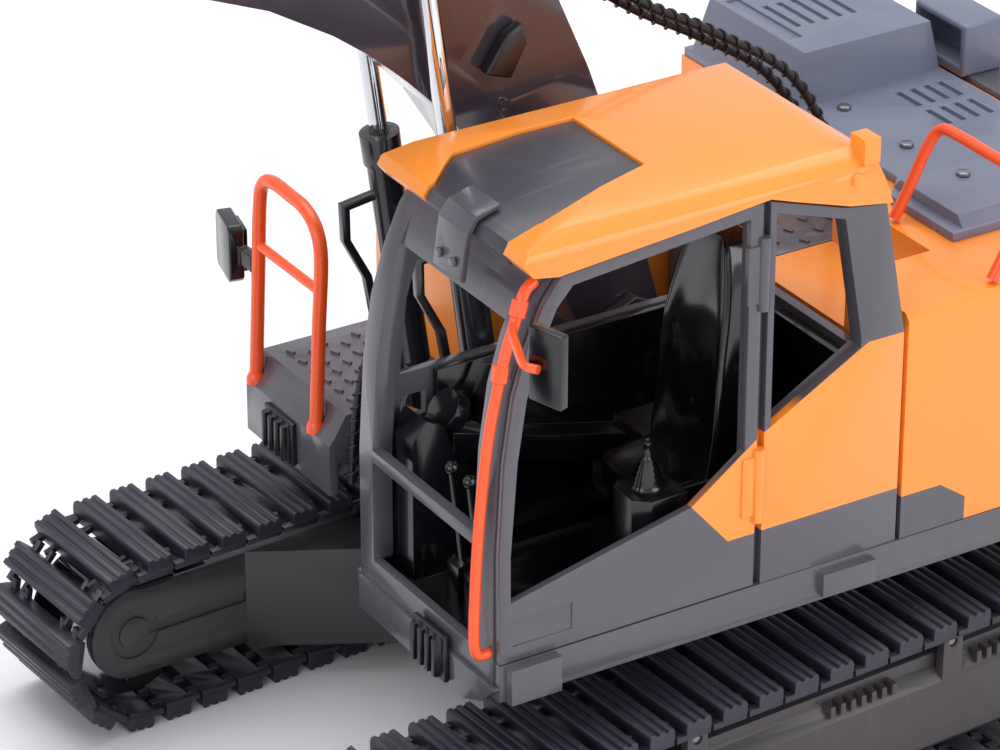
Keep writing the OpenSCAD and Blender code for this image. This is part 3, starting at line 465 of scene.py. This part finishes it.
ROUNDED = {
    "lower_frame": 0.8, "track_frame_left": 0.5, "track_frame_right": 0.5, "deck": 0.5, "cab_frame": 0.5,
    "cab_tub": 0.7, "roof": 0.9, "sunroof": 0.5, "roof_bracket": 0.3, "cab_mirror": 0.7,
    "side_mirror": 0.8, "body_shell": 0.9, "hood": 0.8, "exhaust_box": 0.8, "counterweight": 3.0,
    "side_platform": 0.4, "tank_box": 1.0, "work_lamps": 0.45, "tread_plate": 0.4, "boom_bracket": 0.6,
    "boom": 0.7, "boom_lamp": 0.6, "arm": 0.7, "bucket": 0.5, "rocker": 0.3, "bucket_link": 0.3,
    "door": 0.45, "boom_barrel_left": 0.4, "boom_barrel_right": 0.4, "arm_barrel": 0.4, "bucket_barrel": 0.4,
    "boom_rod_left": 0.3, "boom_rod_right": 0.3, "arm_rod": 0.3, "bucket_rod": 0.3, "screws": 0.25,
    "carrier_front_left": 0.3, "carrier_rear_left": 0.3, "carrier_front_right": 0.3,
    "carrier_rear_right": 0.3, "slew_ring": 0.15, "slew_pinion": 0.12, "track_left": 0.25,
    "track_right": 0.25, "idler_left": 0.3, "idler_right": 0.3, "sprocket_left": 0.3, "sprocket_right": 0.3,
    "battery": 1.6, "circuit_board": 0.2, "slew_motor": 0.8, "track_motors": 0.8,
}
OWN_FINISH = {"door": TWO_TONE, "cab_frame": TWO_TONE, "body_shell": SHELL_TONE}
ONE_STEP = ("track_left", "track_right", "slew_ring", "slew_pinion")
softened = {}
for node_name, width in ROUNDED.items():
    steps = 1 if node_name in ONE_STEP else 3 if width > 0.6 else 2
    softened[node_name] = soften(node_name, width, steps, OWN_FINISH.get(node_name))

# ---------- pieces modelled here ----------
def unit_at(route, i):
    """Direction of a route at its point i."""
    return (route[min(i + 1, len(route) - 1)] - route[max(i - 1, 0)]).normalized()


def smooth_route(points, steps):
    """A curve through the points, in metres, with a few steps between each pair."""
    ends = [at(*point) for point in points]
    ends = [ends[0]] + ends + [ends[-1]]
    route = []
    for before, start, end, after in zip(ends, ends[1:], ends[2:], ends[3:]):
        for step in range(steps):
            t = step / steps
            route.append(0.5 * (2 * start + (end - before) * t
                                + (2 * before - 5 * start + 4 * end - after) * t ** 2
                                + (3 * start - before - 3 * end + after) * t ** 3))
    return route + [ends[-1]]


def tube(route, radius, sides=3):
    """A round tube along a route; sides is the curve's bevel resolution."""
    curve = bpy.data.curves.new("tube", "CURVE")
    curve.dimensions = "3D"
    curve.bevel_depth = radius * MM
    curve.bevel_resolution = sides
    curve.use_fill_caps = True
    spline = curve.splines.new("POLY")
    spline.points.add(len(route) - 1)
    for point, place in zip(spline.points, route):
        point.co = (*place, 1)
    piece = bpy.data.objects.new("tube", curve)
    bpy.context.scene.collection.objects.link(piece)
    alone(piece)
    bpy.ops.object.convert(target="MESH")
    return bpy.context.object


def joined(pieces):
    alone(pieces[0])
    for piece in pieces[1:]:
        piece.select_set(True)
    bpy.ops.object.join()
    return bpy.context.object


def turned(rings, sides=32):
    """A solid of revolution about Z at the origin; rings are (radius, height) in millimetres."""
    bpy.ops.object.select_all(action="DESELECT")
    radius, height = rings[0]
    bpy.ops.mesh.primitive_circle_add(vertices=sides, radius=radius * MM, fill_type="NGON",
                                      location=(0, 0, height * MM))
    bpy.ops.object.mode_set(mode="EDIT")
    bpy.ops.mesh.select_all(action="SELECT")
    for next_radius, next_height in rings[1:]:
        rise = (0, 0, (next_height - height) * MM)
        bpy.ops.mesh.extrude_region_move(TRANSFORM_OT_translate={"value": rise})
        grow = next_radius / radius
        bpy.ops.transform.resize(value=(grow, grow, 1))
        radius, height = next_radius, next_height
    bpy.ops.mesh.select_all(action="SELECT")
    bpy.ops.mesh.normals_make_consistent(inside=False)
    bpy.ops.object.mode_set(mode="OBJECT")
    return bpy.context.object


def stand(piece, place, tilt=(0, 0, 0)):
    """Puts a piece that was made at the origin in its place, tilted in degrees."""
    piece.rotation_euler = [math.radians(angle) for angle in tilt]
    piece.location = place
    alone(piece)
    bpy.ops.object.transform_apply(location=True, rotation=True, scale=True)
    return piece


def wrapped_hose(points, radius, pitch, wrap):
    """A hose with a spiral guard wound round it."""
    route = smooth_route(points, 16)
    across = unit_at(route, 0).orthogonal().normalized()
    coil = []
    run = 0.0
    for i in range(len(route) - 1):
        ahead = unit_at(route, i)
        across = (across - ahead * across.dot(ahead)).normalized()
        span = (route[i + 1] - route[i]).length
        steps = max(2, round(span / (pitch * MM) * 12))
        for step in range(steps):
            turn = 2 * math.pi * (run + span * step / steps) / (pitch * MM)
            arm = Matrix.Rotation(turn, 3, ahead) @ across * (radius + wrap * 0.55) * MM
            coil.append(route[i].lerp(route[i + 1], step / steps) + arm)
        run += span
    return joined([tube(route, radius, 3), tube(coil, wrap, 1)])


BOOM_HOSE_A = [(-5, 74, 118.1), (-5, 75, 126), (-6, 73.4, 138), (-8, 63, 156), (-9, 42, 171),
               (-8, 20, 184), (-8, 2, 197), (-8, -14, 207)]
BOOM_HOSE_B = [(-13, 74, 118.1), (-13, 74.6, 125), (-14, 72.6, 137), (-15, 60, 155), (-14, 40, 169),
               (-13, 20, 181), (-12, 2, 194), (-12, -13, 204)]
BOOM_HOSE_SIZE = {"radius": 1.15, "pitch": 4.4, "wrap": 0.42}
SIDE_HOSE_SIZE = {"radius": 1.0, "pitch": 3.6, "wrap": 0.4}
SIDE_HOSE_A = [(-33.4, -49, 62.2), (-33.4, -47.6, 74), (-33.2, -44, 88), (-33, -39, 100), (-32.6, -33, 106)]
SIDE_HOSE_B = [(-30.6, -51.2, 62.2), (-31.4, -50, 74), (-32, -47.6, 88), (-32.4, -43, 101), (-32.8, -37, 108)]


def make_hoses():
    over_roof = joined([wrapped_hose(route, **BOOM_HOSE_SIZE) for route in (BOOM_HOSE_A, BOOM_HOSE_B)])
    finished(over_roof, "spiral_hoses", "hose", None, FINISH["hose"], "boom_hoses")
    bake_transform(over_roof)
    beside = joined([wrapped_hose(route, **SIDE_HOSE_SIZE) for route in (SIDE_HOSE_A, SIDE_HOSE_B)])
    finished(beside, "platform_hoses", "hose", "house", FINISH["hose"], "side_hoses")


CAB_RAIL = [(74.6, -75.2, 74), (74.6, -79, 76), (74.8, -79, 92), (74.8, -77.6, 112), (75.2, -75.4, 132),
            (75.6, -71.6, 150), (75.6, -68.2, 160), (75.2, -66.2, 164.4), (74.6, -63.4, 166)]
MIRROR_ARM = [(75.4, -69.4, 157), (80, -72.4, 157.6), (88, -76, 158), (95, -78.6, 158.2),
              (98.6, -77.3, 158.3)]
SIDE_RAIL = [(-75.6, -53.4, 71.6), (-75.6, -52, 100), (-75.6, -51, 121), (-74, -50.7, 127.4),
             (-69.4, -50.5, 129.6), (-61, -50.5, 129.6), (-53, -50.5, 129), (-47, -50.7, 125.6),
             (-44.4, -51, 118), (-44.4, -52, 100), (-44.4, -53.4, 71.6)]
REAR_RAIL = [(34.8, 65.2, 132.95), (34.8, 69.4, 140.4), (35, 74.8, 151), (36.8, 77, 154.8), (42, 77.4, 155.4),
             (54, 77.4, 155.4), (67, 77.4, 155.4), (72.2, 77, 154.8), (74, 74.8, 151), (74.2, 69.4, 140.4),
             (74.2, 65.2, 132.95)]
COLLAR = [(1.4, -2.2), (2.0, -1.8), (2.0, 1.8), (1.4, 2.2)]
FOOT = [(2.5, 0), (2.5, 1.6), (1.9, 2.8), (1.8, 3.0)]


def make_rails():
    cab_rail = joined([
        tube(smooth_route(CAB_RAIL, 10), 1.35, 4), tube(smooth_route(MIRROR_ARM, 10), 1.1, 3),
        stand(turned(COLLAR, 8), at(75.5, -73.2, 143.6), (-14, 0, 22)),
        stand(turned(COLLAR, 8), at(75.5, -68.6, 158.6), (-24, 0, 22)),
    ])
    finished(cab_rail, "cab_rail", "rail", "house", FINISH["rail"], "cab_handrail")
    bar = [at(-75.6, -51.6, 110), at(-44.4, -51.6, 110)]
    side_rail = joined([tube(smooth_route(SIDE_RAIL, 10), 1.8, 4), tube(bar, 1.3, 3),
                        stand(turned(FOOT), at(-75.6, -53.4, 71.2)),
                        stand(turned(FOOT), at(-44.4, -53.4, 71.2))])
    finished(side_rail, "platform_rail", "rail", "house", FINISH["rail"], "side_handrail")
    rear_rail = tube(smooth_route(REAR_RAIL, 10), 1.5, 4)
    finished(rear_rail, "hood_rail", "rail", "house", FINISH["rail"], "rear_handrail")


def select_where(piece, test):
    """Selects the vertices of a piece in edit mode that pass a test on their place in millimetres."""
    alone(piece)
    bpy.ops.object.mode_set(mode="EDIT")
    bpy.ops.mesh.select_all(action="DESELECT")
    bpy.ops.object.mode_set(mode="OBJECT")
    for vertex in piece.data.vertices:
        place = (vertex.co - SLEW_AXIS) / MM
        vertex.select = test(place.x, place.y, vertex.co.z / MM)
    bpy.ops.object.mode_set(mode="EDIT")


def cage(centre, span, cuts):
    """A block cut into a few faces each way, ready to be shaped and rounded."""
    bpy.ops.object.select_all(action="DESELECT")
    bpy.ops.mesh.primitive_cube_add(size=1, location=at(*centre))
    piece = bpy.context.object
    piece.scale = [length * MM for length in span]
    bpy.ops.object.transform_apply(location=True, rotation=True, scale=True)
    bpy.ops.object.mode_set(mode="EDIT")
    bpy.ops.mesh.select_all(action="SELECT")
    bpy.ops.mesh.subdivide(number_cuts=cuts)
    bpy.ops.object.mode_set(mode="OBJECT")
    return piece


def rounded(piece, levels=3):
    surface = piece.modifiers.new("rounded", "SUBSURF")
    surface.levels = levels
    surface.render_levels = levels
    apply_modifiers(piece)
    return piece


SEAT_X = 47.5


def make_seat():
    """A one-piece bucket seat: tall winged back, dished cushion and its base."""
    back = cage((SEAT_X, 3, 121), (27, 10.5, 64), 3)
    select_where(back, lambda x, y, z: z > 152)
    bpy.ops.transform.resize(value=(0.6, 0.8, 1))
    bpy.ops.transform.translate(value=(0, 2.5 * MM, -1 * MM))
    select_where(back, lambda x, y, z: 136 < z < 150)
    bpy.ops.transform.resize(value=(0.92, 1, 1))
    bpy.ops.transform.translate(value=(0, 1.6 * MM, 0))
    select_where(back, lambda x, y, z: z < 92)
    bpy.ops.transform.translate(value=(0, -3 * MM, 0))
    select_where(back, lambda x, y, z: z < 124 and y < 0 and abs(x - SEAT_X) > 11)
    bpy.ops.transform.translate(value=(0, -2.6 * MM, 0))
    bpy.ops.object.mode_set(mode="OBJECT")
    cushion = cage((SEAT_X, -8.5, 88), (27, 24, 11), 3)
    select_where(cushion, lambda x, y, z: z > 92 and abs(x - SEAT_X) < 8 and y < 0)
    bpy.ops.transform.translate(value=(0, 0, -1.6 * MM))
    select_where(cushion, lambda x, y, z: y < -19)
    bpy.ops.transform.resize(value=(0.94, 1, 0.8))
    bpy.ops.object.mode_set(mode="OBJECT")
    base = cage((48, -6, 76), (16, 16, 14), 1)
    round_edges(base, 1.2, 3)
    seat = joined([rounded(back), rounded(cushion), base])
    finished(seat, "bucket_seat", "seat", "house", FINISH["seat"], "seat")


BOOT = [(4.2, 0), (4.2, 0.7), (3.6, 1.0), (3.9, 1.5), (3.2, 2.3), (3.5, 2.8), (2.7, 3.6), (3.0, 4.1),
        (2.2, 4.9), (2.5, 5.4), (1.7, 6.2), (1.9, 6.7), (1.0, 7.6), (0.95, 10.4), (1.15, 10.8),
        (1.15, 11.8), (0.5, 12)]
LEVER_PLACES = [(27, 8, 92), (65.6, -26.6, 99.6)]


def make_levers():
    """Driving sticks with pleated boots, beside the pedals of the CAD node."""
    pedals = copy_of("cab_levers")
    select_where(pedals, lambda x, y, z: y > -40)
    bpy.ops.mesh.delete(type="VERT")
    bpy.ops.object.mode_set(mode="OBJECT")
    round_edges(pedals, 0.25)
    levers = joined([pedals] + [stand(turned(BOOT), at(*place)) for place in LEVER_PLACES])
    finished(levers, "cab_controls", "black", "house", FINISH["black"], "cab_levers")


PIN_INNER_RADIUS = 15.7
PIN_REACH = 8.2
AXLE_RADIUS = 2.6


def paint_wheels():
    """The drive pins that show between the shoes are polished black, and the axle ends are bright steel."""
    for name in ("idler_left", "idler_right", "sprocket_left", "sprocket_right"):
        joint = JOINTS[name + "_spin"]
        centre, axis = Vector(joint["pos_m"]), Vector(joint["axis"])

        def distances(place):
            along = (place - centre).dot(axis)
            return abs(along) / MM, (place - centre - axis * along).length / MM

        def is_pin(place):
            along, out = distances(place)
            return out > PIN_INNER_RADIUS and along < PIN_REACH

        def is_axle(place):
            return distances(place)[1] < AXLE_RADIUS
        paint_faces(softened[name], DRIVE_PIN, is_pin)
        paint_faces(softened[name], AXLE_STEEL, is_axle)


make_hoses()
make_rails()
make_seat()
make_levers()
paint_wheels()
